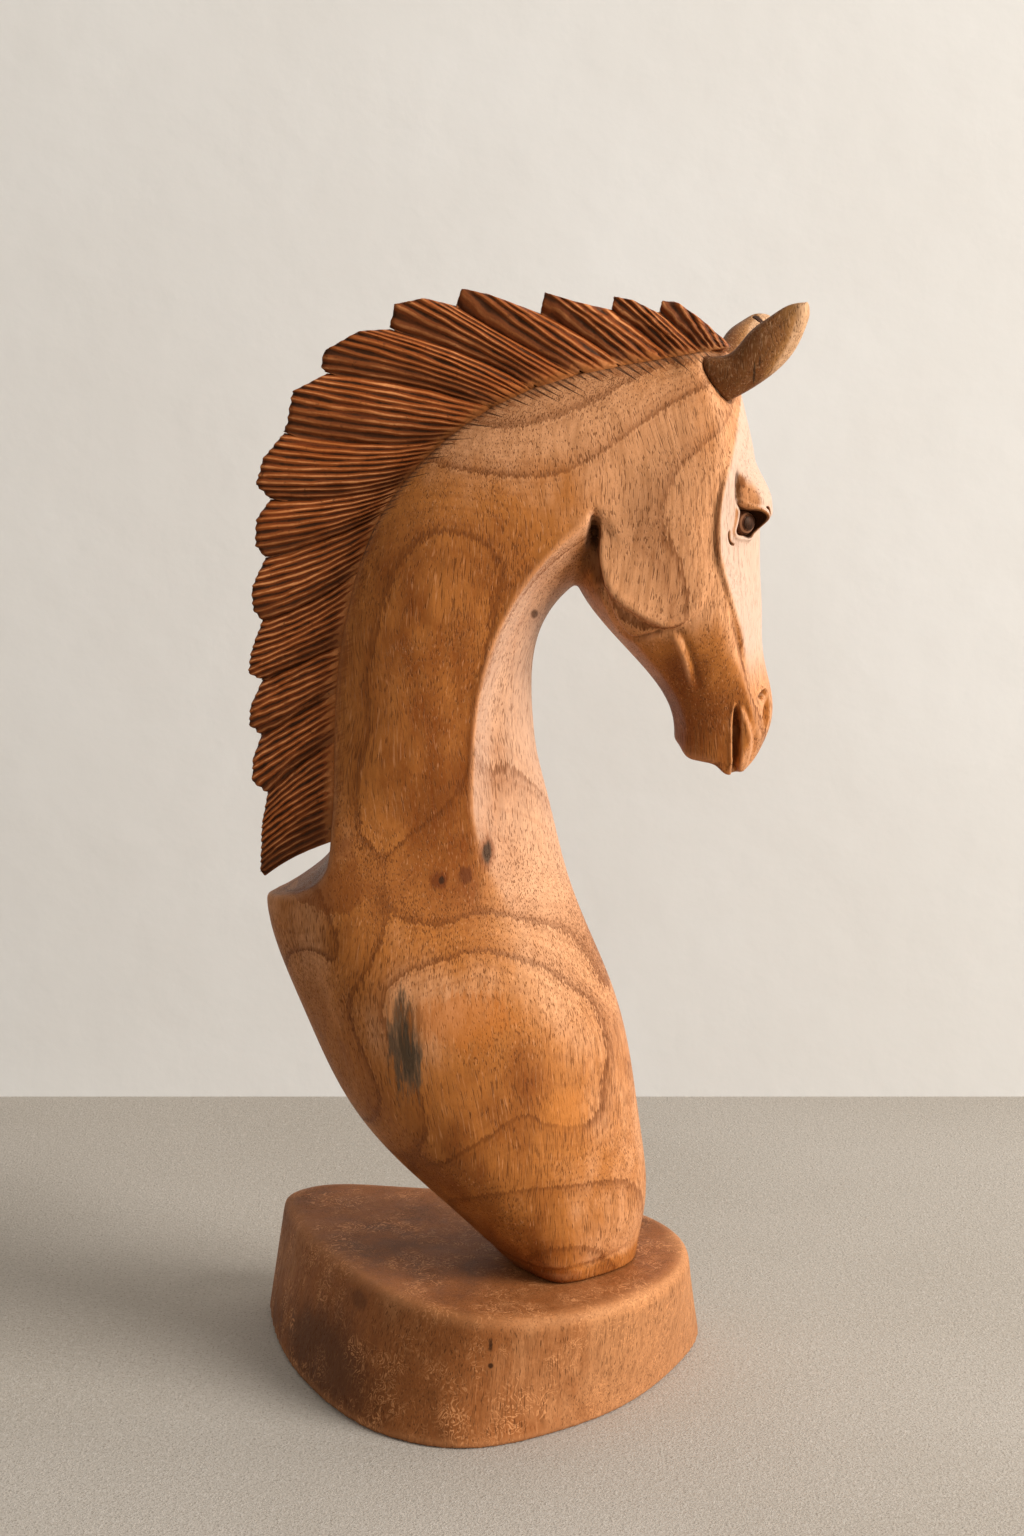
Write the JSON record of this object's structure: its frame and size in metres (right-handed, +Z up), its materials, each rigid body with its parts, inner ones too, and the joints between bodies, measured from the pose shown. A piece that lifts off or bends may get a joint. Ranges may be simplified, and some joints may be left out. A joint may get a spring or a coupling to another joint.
{
  "type": "carved horse head sculpture",
  "caption": "Carved wooden horse head and chest with a dark saw-toothed mane, pricked ears and inset eyes, on a rounded slab base.",
  "frame": {"origin": "on the base's flat underside, on the upright mid-plane of the horse", "axes": "+X the way the horse looks, +Y its left side, +Z up"},
  "size_m": [0.2974, 0.2262, 0.6],
  "materials": {
    "base_wood": "oiled",
    "bust_wood": "satin",
    "mane_wood": "satin",
    "ear_wood": "satin",
    "dark_wood": "satin",
    "eye_wood": "gloss",
    "dowel_wood": "satin",
    "zinc_steel": "satin"
  },
  "bodies": {
    "root": {"base": "base_wood", "bust": "bust_wood", "mane": "mane_wood", "ear_right": "ear_wood", "ear_left": "ear_wood", "ear_peg": "dark_wood", "eye_right": "eye_wood", "eye_left": "eye_wood", "pupil_right": "dark_wood", "pupil_left": "dark_wood", "foot_dowels": "dowel_wood", "mane_dowels": "dowel_wood", "ear_dowels": "dowel_wood", "base_screw": "zinc_steel", "screw_washer": "zinc_steel"}
  },
  "joints": []
}
